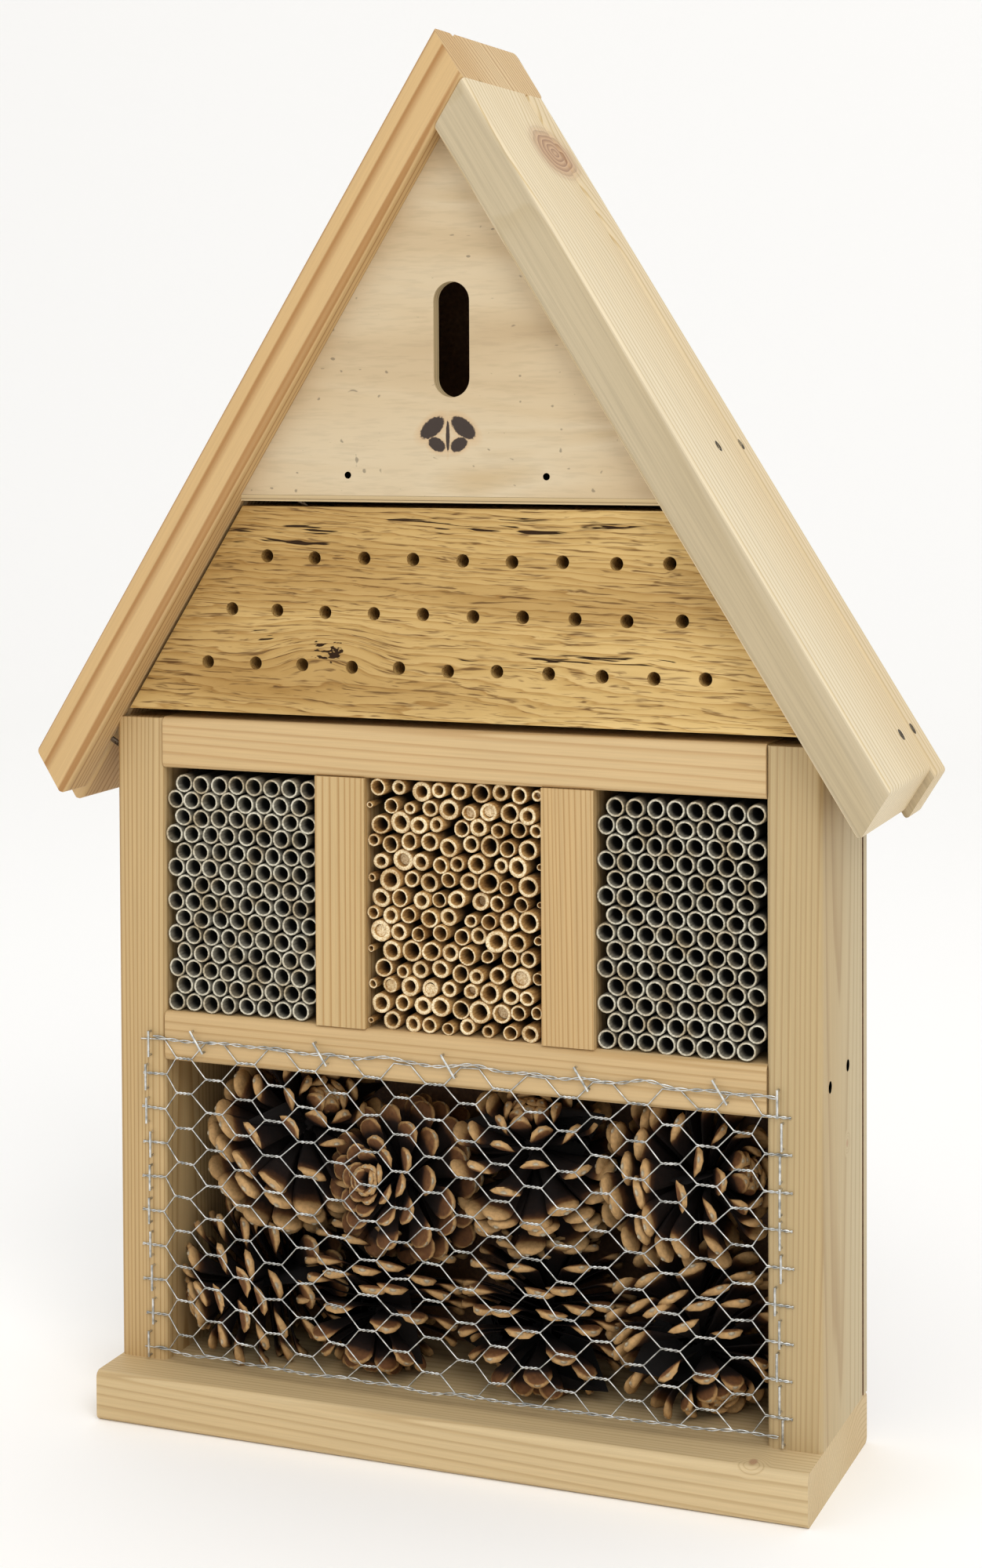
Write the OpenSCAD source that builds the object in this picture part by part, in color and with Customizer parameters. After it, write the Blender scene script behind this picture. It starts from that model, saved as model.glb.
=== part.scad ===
// Insect hotel: a softwood house with drilled oak, rolled paper tubes, reed stems and
// pine cones behind wire netting. Millimetres. +X right, +Y to the back, +Z up.
// The origin is the middle of the footprint, on the surface that the base board stands on.

/* [Carcass] */
// Width over the two side boards
body_w = 278; // [230:1:340]
// Depth of the side boards, rails and mullions
body_d = 60; // [48:1:75]
// Height of the side boards' tops above the ground
side_top = 266.5; // [220:0.5:330]
// Thickness of the side boards
side_t = 20; // [15:0.5:24]
// Thickness of the base board
base_t = 19; // [15:0.5:24]
// How far the base board reaches in front of the side boards
base_lip = 19.5; // [10:0.5:26]
// Thickness of the top rail
top_rail_t = 19.5; // [15:0.5:24]
// Thickness of the middle rail
mid_rail_t = 19; // [15:0.5:24]
// Height of the middle rail's underside
mid_rail_z = 135; // [110:1:160]
// Thickness of the mullions
mullion_t = 20; // [15:0.5:24]
// Distance between the two mullions' centres
mullion_span = 90; // [72:1:110]
// Thickness of the back panel
panel_t = 5; // [4:0.5:8]
// Radius of the planed arrises
arris_r = 2.5; // [1:0.1:4]

/* [Roof] */
// Slope of both roof halves, in degrees
pitch = 58; // [50:1:62]
// Thickness of the roof boards
roof_t = 19; // [15:0.5:23]
// How far each eave reaches past the side board's outer face
eave_over = 27.4; // [10:0.1:40]
// How far the roof reaches in front of the side boards
roof_front = 13.5; // [5:0.5:18]
// How far the roof reaches behind the back panel
roof_back = 4; // [0:0.5:12]
// Depth of the narrow board of each slope
strip_d = 18; // [12:0.5:24]
// How much longer the wide board of the left slope is than its narrow one
step_left = 6; // [0:0.5:8]
// How much longer the narrow board of the right slope is than its wide one
step_right = 3; // [0:0.5:8]
// Depth of the bevel that the roof rests on, at the side boards' outer faces
seat_h = 4; // [2:0.5:8]

/* [Gable] */
// Thickness of the plywood gable
gable_t = 5; // [4:0.5:8]
// How far the gable stands in front of the side boards
gable_proud = 3.5; // [0:0.5:4]
// Height of the gable's lower edge above the side boards' tops
gable_rise = 83.5; // [70:0.5:100]
// Width of the entrance slot
slot_w = 14; // [10:0.5:18]
// Height of the entrance slot
slot_h = 42; // [30:1:52]
// Offset of the slot from the middle
slot_x = 2.5; // [-5:0.5:5]
// Height of the slot's lower end above the gable's lower edge
slot_rise = 38.5; // [30:0.5:44]
// Thickness of the shelf behind the gable's lower edge
shelf_t = 18; // [12:0.5:22]

/* [Nesting block] */
// Gap under the oak block
block_lift = 3; // [1:0.5:5]
// Gap between the oak block and the shelf above it
block_drop = 3.5; // [1:0.5:6]
// Gap between the oak block and the left slope
block_gap = 1.2; // [0.5:0.1:3]
// Diameter of the nesting holes
hole_d = 5; // [3:0.5:7]
// Depth of the nesting holes
hole_l = 42; // [30:1:44]
// Distance between the holes of a row
hole_pitch = 19.7; // [16:0.1:26]
// Least distance from a row's outer holes to the slopes, along the row
hole_margin = 18; // [14:0.5:24]
// Distance between the rows of holes
row_pitch = 20.2; // [14:0.1:22]

/* [Filling] */
// Outer diameter of the paper tubes
tube_d = 7.3; // [5:0.1:9]
// Wall of the paper tubes
tube_wall = 0.9; // [0.5:0.1:1.2]
// Mean distance between the reed stems' centres
stem_pitch = 7.2; // [6:0.1:9]
// How far the tubes and stems sit behind the front
fill_set = 2; // [0.5:0.5:6]

/* [Netting and fasteners] */
// Mesh of the netting, between the twists of one column
mesh = 13; // [10:0.5:16]
// Diameter of the netting wire
wire_d = 0.7; // [0.5:0.1:0.8]
// Length of a twist
twist_l = 7.2; // [5:0.1:9]
// How far the middle of the netting stands out
net_bulge = 4; // [0:0.5:6]
// How far the netting laps over each side board
net_lap = 8; // [5:0.5:10]
// Diameter of a nail's shank
nail_d = 2; // [1.5:0.1:2.5]
// Diameter of a nail's head
nail_head = 4.4; // [3.5:0.1:5.5]
// Length of the nails that hold the boards
nail_l = 42; // [38:1:50]
// Diameter of the staples' wire
staple_d = 0.9; // [0.7:0.1:1.2]
// Width of a staple's crown
staple_w = 10; // [8:0.5:11]
// How far the rail's staples lean over to the left, in degrees from upright
rail_lean = 33; // [0:1:60]

/* [Hidden] */

// Clearance between loose pieces that lie against each other
slack = 0.3;
// Overcut that carries a cutting solid clear of the wood it cuts
over = 50;

body_back = body_d + panel_t;
// Length of each slope, from the ridge line to the eave
roof_len = (body_w / 2 + eave_over) / cos(pitch);
// Y of the side boards' front face, with the footprint's middle at 0
front_y = -(base_lip + body_back + roof_back) / 2 + base_lip;

half_in = body_w / 2 - side_t;
opening_w = body_w - 2 * side_t;
top_rail_z = side_top - top_rail_t + 0.5;
mid_rail_top = mid_rail_z + mid_rail_t;
fill_h = top_rail_z - mid_rail_top;
cell_side = half_in - mullion_span / 2 - mullion_t / 2;
cell_mid = mullion_span - mullion_t;

// Height of the inner ridge line, where the undersides of the two slopes meet
inner_apex = side_top - seat_h + body_w / 2 * tan(pitch);
roof_drop = roof_t / cos(pitch);
outer_apex = inner_apex + roof_drop;
end_cut = roof_t / sin(2 * pitch);

gable_z = side_top + gable_rise;
shelf_z = gable_z + 1.5;
block_z = side_top + block_lift + 0.5;
block_top = shelf_z - block_drop;
block_mid = (block_z + block_top) / 2;

// The cones fill their compartment: two layers high, four side by side, a little less than its depth
cone_d = min((mid_rail_z - base_t) / 2 - 4, body_d - 6, opening_w / 4 - 5.5);
cone_l = cone_d * 1.055;
// Direction of each cone's tip: the middle number is its turn below the horizontal, the last its heading
cone_turns = [[0, 20, 250], [0, -15, 80], [0, 10, 100], [0, 25, 285],
    [0, 70, 110], [0, -20, 265], [0, 60, 75], [0, 15, 70]];

// Half the width between the slopes at height z
function roof_half(z) = (inner_apex - z) / tan(pitch);
// Repeatable scatter between -1 and 1 for the pair of whole numbers i, k
function scatter(i, k) = let (s = sin(i * 97.31 + k * 57.77 + 11) * 437.585) 2 * (s - floor(s)) - 1;
// Outline of a w by h rectangle from the origin, with rounded corners
function rounded(w, h, r) = [for (c = [[w - r, h - r, 0], [r, h - r, 90], [r, r, 180], [w - r, r, 270]])
    for (a = [0:15:90]) [c[0] + r * cos(c[2] + a), c[1] + r * sin(c[2] + a)]];

// Points of the arc of radius r that rounds the corner b between a and c
function corner(a, b, c, r) = let (u = (a - b) / norm(a - b), v = (c - b) / norm(c - b),
    half = acos(u * v) / 2, mid = (u + v) / norm(u + v), m = b + mid * r / sin(half),
    from = b + u * r / tan(half) - m, to = b + v * r / tan(half) - m)
    [for (k = [0:4]) m + r * (from * (4 - k) + to * k) / norm(from * (4 - k) + to * k)];

// Moves a shape drawn with Y 0 on the side boards' front face to its place
module place() {
    translate([0, front_y, 0]) children();
}

// Board along X, from x = -w/2 to w/2, with its arrises planed round
module bar_x(w, d, t, r) {
    translate([-w / 2, 0, 0]) rotate([90, 0, 90]) linear_extrude(w) polygon(rounded(d, t, r));
}

// Cuts away what lies above the undersides of the slopes; inset lowers them square to the slope
module under_roof(inset_left = 0, inset_right = 0) {
    difference() {
        children();
        translate([0, -over, inner_apex]) rotate([0, pitch, 0])
            translate([-over, 0, -inset_right]) cube([roof_len + 2 * over, 4 * over, 4 * over]);
        translate([0, -over, inner_apex]) mirror([1, 0, 0]) rotate([0, pitch, 0])
            translate([-over, 0, -inset_left]) cube([roof_len + 2 * over, 4 * over, 4 * over]);
    }
}

module base_board() {
    color("#dcbd8a") place() translate([0, -base_lip, 0])
        bar_x(body_w, base_lip + body_back, base_t, arris_r);
}

// Upright board whose top is bevelled to the slope that rests on it
module side_board() {
    under_roof() translate([half_in, 0, base_t])
        linear_extrude(side_top - base_t) polygon(rounded(side_t, body_d, arris_r));
}

module side_board_left() {
    color("#d9b883") place() mirror([1, 0, 0]) intersection() {
        side_board();
        cube([body_w, 2 * body_d, side_top]);
    }
}

module side_board_right() {
    color("#d9b883") place() intersection() {
        side_board();
        cube([body_w, 2 * body_d, side_top]);
    }
}

module top_rail() {
    color("#cfa26b") place() translate([0, 0, top_rail_z]) bar_x(opening_w, body_d, top_rail_t, arris_r);
}

module middle_rail() {
    color("#d3ab75") place() translate([0, 0, mid_rail_z]) bar_x(opening_w, body_d, mid_rail_t, arris_r);
}

module mullion(x) {
    color("#cda56f") place() translate([x - mullion_t / 2, 0, mid_rail_top])
        cube([mullion_t, body_d, fill_h]);
}

module mullion_left() {
    mullion(-mullion_span / 2);
}

module mullion_right() {
    mullion(mullion_span / 2);
}

module back_panel() {
    shoulder = inner_apex - body_w / 2 * tan(pitch);
    color("#b98f5e") place() translate([0, body_back, 0]) rotate([90, 0, 0]) linear_extrude(panel_t)
        polygon([[-body_w / 2, base_t], [body_w / 2, base_t], [body_w / 2, shoulder],
            [0, inner_apex], [-body_w / 2, shoulder]]);
}

// One board of the right slope. It starts upper below the ridge's outer line, measured down
// the slope, and its eave is extra longer. y0 and y1 are its front and back.
module slope_board(upper, extra, y0, y1) {
    // both ends are cut parallel to the other slope, so their lower edges lie rake further down
    rake = -roof_t / tan(2 * pitch);
    lower = roof_len + extra;
    top_end = [upper, 0];
    eave = [lower, 0];
    drip = [lower + rake, -roof_t];
    low_end = [upper + rake, -roof_t];
    translate([0, y0, outer_apex]) rotate([0, pitch, 0]) intersection() {
        // profile across the board, with round arrises, carried down the slope
        translate([-over, 0, -roof_t]) rotate([90, 0, 90])
            linear_extrude(lower + 2 * over) polygon(rounded(y1 - y0, roof_t, arris_r));
        // side view of the board, with a rounded eave
        rotate([90, 0, 0]) translate([0, 0, -(y1 - y0)]) linear_extrude(y1 - y0)
            polygon(concat([top_end], corner(top_end, eave, drip, arris_r),
                corner(eave, drip, low_end, arris_r * 0.7), [low_end]));
    }
}

// The left slope carries on over the ridge, and the right one butts against its underside
module roof_left_front() {
    color("#c99a63") place() mirror([1, 0, 0]) slope_board(0, 0, -roof_front, -roof_front + strip_d);
}

module roof_left_rear() {
    color("#d0a671") place() mirror([1, 0, 0])
        slope_board(0, step_left, -roof_front + strip_d, body_back + roof_back);
}

module roof_right_front() {
    color("#e6cda0") place() slope_board(end_cut, 0, -roof_front, body_back + roof_back - strip_d);
}

module roof_right_rear() {
    color("#dfc391") place()
        slope_board(end_cut, step_right, body_back + roof_back - strip_d, body_back + roof_back);
}

module gable_panel() {
    chamfer = gable_t * 0.5;
    color("#e3c898") place() difference() {
        under_roof() translate([-roof_half(gable_z) - 5, -gable_proud, gable_z])
            cube([2 * roof_half(gable_z) + 10, gable_t, inner_apex - gable_z]);
        // entrance slot with round ends
        translate([slot_x, 0, gable_z + slot_rise]) rotate([90, 0, 0])
            translate([0, 0, -over / 2]) linear_extrude(over) union() {
                translate([0, slot_w / 2]) circle(d = slot_w, $fn = 48);
                translate([0, slot_h - slot_w / 2]) circle(d = slot_w, $fn = 48);
                translate([-slot_w / 2, slot_w / 2]) square([slot_w, slot_h - slot_w]);
            }
        // planed lower edge
        translate([0, -gable_proud, gable_z]) rotate([45, 0, 0])
            cube([body_w, chamfer * sqrt(2), chamfer * sqrt(2)], center = true);
    }
}

module gable_shelf() {
    color("#c7a06c") place() under_roof()
        translate([-body_w / 2, gable_t - gable_proud, shelf_z])
            cube([body_w, body_d - gable_t + gable_proud, shelf_t]);
}

module nesting_block() {
    // how far each row is off the middle
    shifts = [4.8, -0.7, -0.8];
    // height of row r, and the number of holes that fit in it
    function row_z(r) = block_mid + (1 - r) * row_pitch;
    function count(r) = floor(2 * (roof_half(row_z(r)) - hole_margin) / hole_pitch) + 1;
    color("#a97f45") place() difference() {
        under_roof(block_gap, 0) translate([-body_w, 0, block_z])
            cube([2 * body_w, body_d, block_top - block_z]);
        for (r = [0:2])
            for (i = [0:count(r) - 1])
                translate([(i - (count(r) - 1) / 2) * hole_pitch + shifts[r] + 0.7 * scatter(i, r), -1,
                    row_z(r) + 0.4 * scatter(r, i + 20)])
                    rotate([-90, 0, 0]) cylinder(d = hole_d, h = hole_l + 1, $fn = 32);
    }
}

// Rolled paper tube along +Y from its front end
module paper_tube(length) {
    rotate([-90, 0, 0]) difference() {
        cylinder(d = tube_d, h = length, $fn = 32);
        translate([0, 0, -1]) cylinder(d = tube_d - 2 * tube_wall, h = length + 2, $fn = 32);
    }
}

// Tubes stacked in staggered rows in the cell that is cell_side wide and starts at x0
module tube_stack(x0, seed) {
    cols = floor((cell_side - tube_d / 2 - 2 * slack) / (tube_d + slack / 2));
    pitch_x = (cell_side - 2 * slack - tube_d) / (cols - 0.5);
    rise = sqrt(pow(tube_d + slack / 2, 2) - pow(pitch_x / 2, 2));
    rows = floor((fill_h - tube_d - slack) / rise) + 1;
    for (j = [0:rows - 1])
        for (i = [0:cols - 1]) {
            back = fill_set + 0.8 * scatter(i + seed, j);
            translate([x0 + slack + tube_d / 2 + pitch_x * (i + (j % 2) / 2), back,
                mid_rail_top + slack / 2 + tube_d / 2 + j * rise])
                paper_tube(body_d - slack - back);
        }
}

module paper_tubes_left() {
    color("#8d8a80") place() tube_stack(-half_in, 3);
}

module paper_tubes_right() {
    color("#8d8a80") place() tube_stack(half_in - cell_side, 8);
}

// Reed stems: a staggered lattice whose points wander, each stem as thick as its neighbours allow
module reed_stems() {
    cols = floor(cell_mid / stem_pitch);
    step_x = cell_mid / cols;
    rows = floor(fill_h / (stem_pitch * 0.9));
    step_z = fill_h / rows;
    wander = stem_pitch * 0.12;
    function at(i, j) = [step_x * (i + 0.25 + (j % 2) / 2) + wander * scatter(i, j + 3),
        step_z * (j + 0.5) + wander * scatter(i + 31, j)];
    function share(i, j) = 1 + 0.42 * scatter(i + 7, j + 13);
    function wall_gap(p) = min(p[0], cell_mid - p[0], p[1], fill_h - p[1]);
    function radius(i, j) = let (p = at(i, j))
        min([wall_gap(p) - slack / 2, for (dj = [-1:1]) for (di = [-1:1])
            let (ni = i + di, nj = j + dj)
            if ((di != 0 || dj != 0) && ni >= 0 && ni < cols && nj >= 0 && nj < rows)
                norm(at(ni, nj) - p) * share(i, j) / (share(i, j) + share(ni, nj)) - slack / 2]);
    color("#cfa766") place() translate([-cell_mid / 2, 0, mid_rail_top])
        for (j = [0:rows - 1])
            for (i = [0:cols - 1]) {
                r = radius(i, j);
                back = fill_set + 1.2 * scatter(j, i);
                translate([at(i, j)[0], back, at(i, j)[1]]) rotate([-90, 0, 0]) difference() {
                    cylinder(r = r, h = body_d - slack - back, $fn = 32);
                    translate([0, 0, -1]) cylinder(r = r * 0.66, h = body_d * 0.7, $fn = 32);
                }
            }
}

// Outline of a cone: distance from its axis and place along it, at angle a from its broad end
function cone_point(a) = [max(0, cone_d / 2 * sin(a) * (1 + 0.1 * cos(a))), -cone_l / 2 * cos(a)];
// How far a cone that is turned t below the horizontal reaches up (side 1) or down (side -1)
function cone_reach(t, side) = max([for (a = [0:5:180])
    cos(t) * cone_point(a)[0] - side * sin(t) * cone_point(a)[1]]);

// Plain egg-shaped body of a pine cone, its broad end at -X
module cone_body() {
    rotate([0, 90, 0]) rotate_extrude($fn = 48) polygon([for (a = [0:15:180]) cone_point(a)]);
}

// Cones lie in two layers of four: 0 to 3 on the base board, 4 to 7 on top of them
module pine_cone(k) {
    col = k % 4;
    step = (opening_w - cone_d - 3) / 3;
    low_turn = cone_turns[col][1];
    turn = cone_turns[k][1];
    low_z = base_t + slack + cone_reach(low_turn, -1);
    color("#7a4f2a") place()
        translate([(col - 1.5) * step, body_d / 2 + 0.5,
            k < 4 ? low_z : low_z + cone_reach(low_turn, 1) + slack + cone_reach(turn, -1)])
            rotate(cone_turns[k]) cone_body();
}

module pine_cone_1() {
    pine_cone(0);
}

module pine_cone_2() {
    pine_cone(1);
}

module pine_cone_3() {
    pine_cone(2);
}

module pine_cone_4() {
    pine_cone(3);
}

module pine_cone_5() {
    pine_cone(4);
}

module pine_cone_6() {
    pine_cone(5);
}

module pine_cone_7() {
    pine_cone(6);
}

module pine_cone_8() {
    pine_cone(7);
}

// Netting: it spans the cone compartment, laps over the side boards and the middle rail
net_half = half_in + net_lap;
net_lift = 0.5;
net_z0 = base_t + wire_d + net_lift;
net_rows = round((mid_rail_z + mid_rail_t * 0.6 - net_z0) / (mesh / 2));
row_h = (mid_rail_z + mid_rail_t * 0.6 - net_z0) / net_rows;
net_top = net_z0 + net_rows * row_h;
columns = round(2 * net_half / (mesh * 1.01));
column_w = 2 * net_half / columns;
// Half the distance between the two wires of a twist
pair = wire_d / 2 + 0.03;

// How far the netting stands in front of the side boards at x, z
function net_out(x, z) = let (u = min(1, abs(x) / half_in), v = min(1, max(0, (z - net_z0) / (mid_rail_z - net_z0))))
    wire_d / 2 + 0.05 + net_bulge * (1 - pow(u, 4)) * (1 - pow(v, 4));

// Square-section wire swept along points that run in +X
module swept_wire(path, r) {
    n = len(path);
    ring = [[0, -1], [1, 0], [0, 1], [-1, 0]];
    points = [for (p = path) for (c = ring) [p[0], p[1] + r * c[0], p[2] + r * c[1]]];
    sides = [for (i = [0:n - 2]) for (k = [0:3]) let (a = 4 * i + k, b = 4 * i + (k + 1) % 4)
        each [[a, b, b + 4], [a, b + 4, a + 4]]];
    polyhedron(points, concat([[3, 2, 1, 0]], sides, [[for (k = [0:3]) 4 * (n - 1) + k]]));
}

module wire_netting() {
    color("#b9bcbe") place()
        for (i = [1:net_rows - 1])
            let (zc = net_z0 + i * row_h)
                swept_wire([for (c = [0:columns]) for (e = [-1, 1])
                    let (up = (i + c) % 2 == 0,
                        x = max(-net_half, min(net_half, -net_half + c * column_w + e * twist_l / 2)),
                        z = zc + (up ? 1 : -1) * (row_h / 2 - pair))
                    if (e > 0 && c < columns || e < 0 && c > 0) [x, -net_out(x, z), z]], wire_d / 2);
}

// Straight selvedge wires along the netting's top and bottom edges
module selvedge(z) {
    color("#9da1a3") place()
        swept_wire([for (i = [0:24]) let (x = -net_half + i * net_half / 12)
            [x, -net_out(x, z) - wire_d * 0.2, z]], wire_d * 0.6);
}

module selvedge_top() {
    selvedge(net_top - row_h / 2 + wire_d * 0.6 + 0.1);
}

module selvedge_bottom() {
    selvedge(net_z0 + row_h / 2 - wire_d * 0.6 - 0.1);
}

// Staple with a crown of staple_w along Z, driven into the wood behind it
module staple(leg) {
    rotate([-90, 0, 0]) {
        for (s = [-1, 1]) translate([0, s * (staple_w - staple_d) / 2, 0])
            cylinder(d = staple_d, h = leg, $fn = 16);
        translate([0, staple_w / 2, 0]) rotate([90, 0, 0]) cylinder(d = staple_d, h = staple_w, $fn = 16);
    }
}

// Height of a staple's crown in front of the wood, clear of the wire that it holds down
crown_out = 2 * wire_d + staple_d / 2 + 0.25;

module staples_rail() {
    count = 5;
    color("#aeb1b3") place() for (i = [0:count - 1])
        translate([(i - (count - 1) / 2) * opening_w / 4.6 - 1, -crown_out,
            net_top - row_h / 2 + 0.5]) rotate([0, -rail_lean, 0]) staple(crown_out + 6);
}

// Row of staples down one side board, on the netting's cut edge
module staples_side(x, count, seed) {
    span = net_top - net_z0 - staple_w;
    color("#aeb1b3") place() for (i = [0:count - 1])
        translate([x + 1.6 * scatter(i, seed), -crown_out, net_z0 + staple_w / 2 + i * span / (count - 1)])
            staple(crown_out + 6);
}

module staples_left() {
    staples_side(-half_in - net_lap * 0.8, 10, 4);
}

module staples_right() {
    staples_side(half_in + net_lap * 0.6, 11, 9);
}

// Nail along +Z with its flush head's outer face at 0
module nail(length, shank = nail_d, head = nail_head) {
    cylinder(d = head, h = shank * 0.4, $fn = 24);
    cylinder(d = shank, h = length - shank, $fn = 24);
    translate([0, 0, length - shank]) cylinder(d1 = shank, d2 = shank * 0.2, h = shank, $fn = 24);
}

module gable_nails() {
    color("#4a4641") place() for (x = [-39, 39])
        translate([x, -gable_proud, gable_z + 10]) rotate([-90, 0, 0]) nail(22, nail_d * 0.7, nail_head * 0.6);
}

// Nails of the right slope, at distances down the slope: into the shelf's end, into the side board
module slope_nails(mid_y, strip_y) {
    shelf_s = (outer_apex - shelf_z - shelf_t / 2 - roof_t * cos(pitch)) / sin(pitch);
    side_s = (outer_apex - side_top + 9 - roof_t * cos(pitch)) / sin(pitch);
    for (n = [[shelf_s, mid_y - 3], [shelf_s, strip_y], [side_s, mid_y + 8], [side_s, strip_y]])
        translate([0, n[1], outer_apex]) rotate([0, pitch, 0]) translate([n[0], 0, 0])
            mirror([0, 0, 1]) nail(nail_l);
}

module roof_nails() {
    color("#5b5650") place() {
        slope_nails(body_d / 2, body_d - 4);
        mirror([1, 0, 0]) slope_nails(body_d / 2, 2.2);
    }
}

module side_nails() {
    color("#5b5650") place() for (s = [0, 1]) mirror([s, 0, 0])
        for (p = [[body_d * 0.19, mid_rail_z + mid_rail_t * 0.55], [body_d * 0.61, mid_rail_z + mid_rail_t * 0.65],
            [body_d * 0.2, top_rail_z + top_rail_t / 2], [body_d * 0.45, top_rail_z + top_rail_t / 2]])
            translate([body_w / 2, p[0], p[1]]) rotate([0, -90, 0]) nail(nail_l);
}

module panel_nails() {
    x = body_w / 2 - side_t / 2;
    side_z = [for (i = [0:3]) base_t + 20 + i * (side_top - base_t - 40) / 3];
    color("#5b5650") place() translate([0, body_back, 0]) {
        for (s = [-1, 1]) for (z = side_z) translate([s * x, 0, z]) rotate([90, 0, 0]) nail(20, 1.4, 3.4);
        for (s = [-1, 1]) {
            translate([s * 70, 0, mid_rail_z + mid_rail_t / 2]) rotate([90, 0, 0]) nail(20, 1.4, 3.4);
            translate([s * 70, 0, top_rail_z + top_rail_t / 2]) rotate([90, 0, 0]) nail(20, 1.4, 3.4);
            translate([s * 60, 0, block_mid]) rotate([90, 0, 0]) nail(20, 1.4, 3.4);
            translate([s * 35, 0, shelf_z + shelf_t / 2]) rotate([90, 0, 0]) nail(20, 1.4, 3.4);
        }
    }
}

module base_screws() {
    color("#b5a25a") place() for (s = [-1, 1]) for (y = [body_d * 0.25, body_d * 0.75])
        translate([s * (body_w / 2 - side_t / 2), y, 0]) nail(38, 3.2, 7);
}

base_board();
side_board_left();
side_board_right();
top_rail();
middle_rail();
mullion_left();
mullion_right();
back_panel();
roof_left_front();
roof_left_rear();
roof_right_front();
roof_right_rear();
gable_panel();
gable_shelf();
nesting_block();
paper_tubes_left();
paper_tubes_right();
reed_stems();
pine_cone_1();
pine_cone_2();
pine_cone_3();
pine_cone_4();
pine_cone_5();
pine_cone_6();
pine_cone_7();
pine_cone_8();
wire_netting();
selvedge_top();
selvedge_bottom();
staples_rail();
staples_left();
staples_right();
gable_nails();
roof_nails();
side_nails();
panel_nails();
base_screws();
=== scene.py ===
# %% [markdown]
# # An insect hotel in timber, paper, reed, cones and wire
# The house is a softwood carcass with a steep roof. Its compartments hold a drilled oak block,
# rolled paper tubes, reed stems and pine cones behind wire netting.
# The boards and fasteners come from the CAD frame. The filling and the netting are modelled here,
# each in the place that the frame gives it.

# %% Load the frame
import math
import random

import bmesh
import bpy
from mathutils import Euler, Matrix, Vector, noise


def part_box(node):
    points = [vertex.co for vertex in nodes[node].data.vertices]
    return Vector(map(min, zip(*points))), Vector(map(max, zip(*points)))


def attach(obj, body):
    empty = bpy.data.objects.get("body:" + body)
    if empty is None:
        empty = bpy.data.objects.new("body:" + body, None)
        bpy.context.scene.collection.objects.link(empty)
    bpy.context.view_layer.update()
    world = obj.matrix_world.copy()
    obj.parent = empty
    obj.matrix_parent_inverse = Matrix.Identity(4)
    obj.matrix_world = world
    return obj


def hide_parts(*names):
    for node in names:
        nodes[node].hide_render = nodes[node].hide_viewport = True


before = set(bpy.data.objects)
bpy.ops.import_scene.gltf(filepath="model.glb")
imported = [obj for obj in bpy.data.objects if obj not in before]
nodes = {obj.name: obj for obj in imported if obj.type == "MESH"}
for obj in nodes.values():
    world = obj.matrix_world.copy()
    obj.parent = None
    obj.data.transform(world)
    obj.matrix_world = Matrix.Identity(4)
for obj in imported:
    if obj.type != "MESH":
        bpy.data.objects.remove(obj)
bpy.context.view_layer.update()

MM = 0.001

# %% [markdown]
# ## Places that everything else is worked out from
# Each place below is read from a board of the frame, so a change of the design moves the filling too.
# Only the pitch of the roof, in degrees, is written down. Points are given in millimetres and turned
# to metres once, where a mesh or a pattern is placed.

# %% Places
front_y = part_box("side_board_left")[0].y
post_in = -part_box("side_board_left")[1].x
rail_low, rail_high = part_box("middle_rail")
floor_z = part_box("base_board")[1].z
back_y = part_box("back_panel")[0].y
PITCH = 58.0


def at(x, y, z):
    """A point in metres from millimetres, with y measured from the side boards' front face."""
    return Vector((x * MM, front_y + y * MM, z * MM))


print("side boards' front face at y", round(front_y / MM, 2), "mm")

# %% [markdown]
# ## One helper for shader nodes
# A material is a small network. Every node is added the same way: its kind, what goes into its
# sockets, and its settings. A value that is itself a socket is linked, and any other value is set.
# Colours are written as sRGB hex codes and turned to linear light by one function.
# Three settings come back all the time, so they have a name: a mix of two colours, a mix in which the
# second colour darkens the first, and a Mapping that moves the pattern itself.

# %% Node helper
BLEND = {"data_type": "RGBA"}
MULTIPLY = {"data_type": "RGBA", "blend_type": "MULTIPLY"}
PATTERN = {"vector_type": "TEXTURE"}


def linear(code):
    """Linear RGBA from an sRGB hex code such as #c4a676."""
    parts = [int(code[i:i + 2], 16) / 255 for i in (1, 3, 5)]
    return [p / 12.92 if p <= 0.04045 else ((p + 0.055) / 1.055) ** 2.4 for p in parts] + [1.0]


def add(tree, kind, sockets=None, stops=None, **settings):
    """Adds a node, sets it up and fills its sockets. stops are (place, hex code or grey) of a ramp."""
    node = tree.nodes.new("ShaderNode" + kind)
    for name, value in settings.items():
        setattr(node, name, value)
    for key, value in (sockets or {}).items():
        if isinstance(value, bpy.types.NodeSocket):
            tree.links.new(value, node.inputs[key])
        else:
            node.inputs[key].default_value = value
    if stops:
        ramp = node.color_ramp
        ramp.elements[0].position = stops[0][0]
        ramp.elements[1].position = stops[-1][0]
        for stop in stops[1:-1]:
            ramp.elements.new(stop[0])
        for element, (place, colour) in zip(ramp.elements, stops):
            element.color = linear(colour) if isinstance(colour, str) else (colour, colour, colour, 1)
    return node


def new_material(name, roughness):
    """An empty material with its tree and its shader."""
    material = bpy.data.materials.new(name)
    material.use_nodes = True
    shader = material.node_tree.nodes["Principled BSDF"]
    shader.inputs["Roughness"].default_value = roughness
    return material, material.node_tree, shader


def dress(name, material):
    """Gives a board or fastener of the frame one finish."""
    slots = nodes[name].data.materials
    slots.clear()
    slots.append(material)


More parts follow.
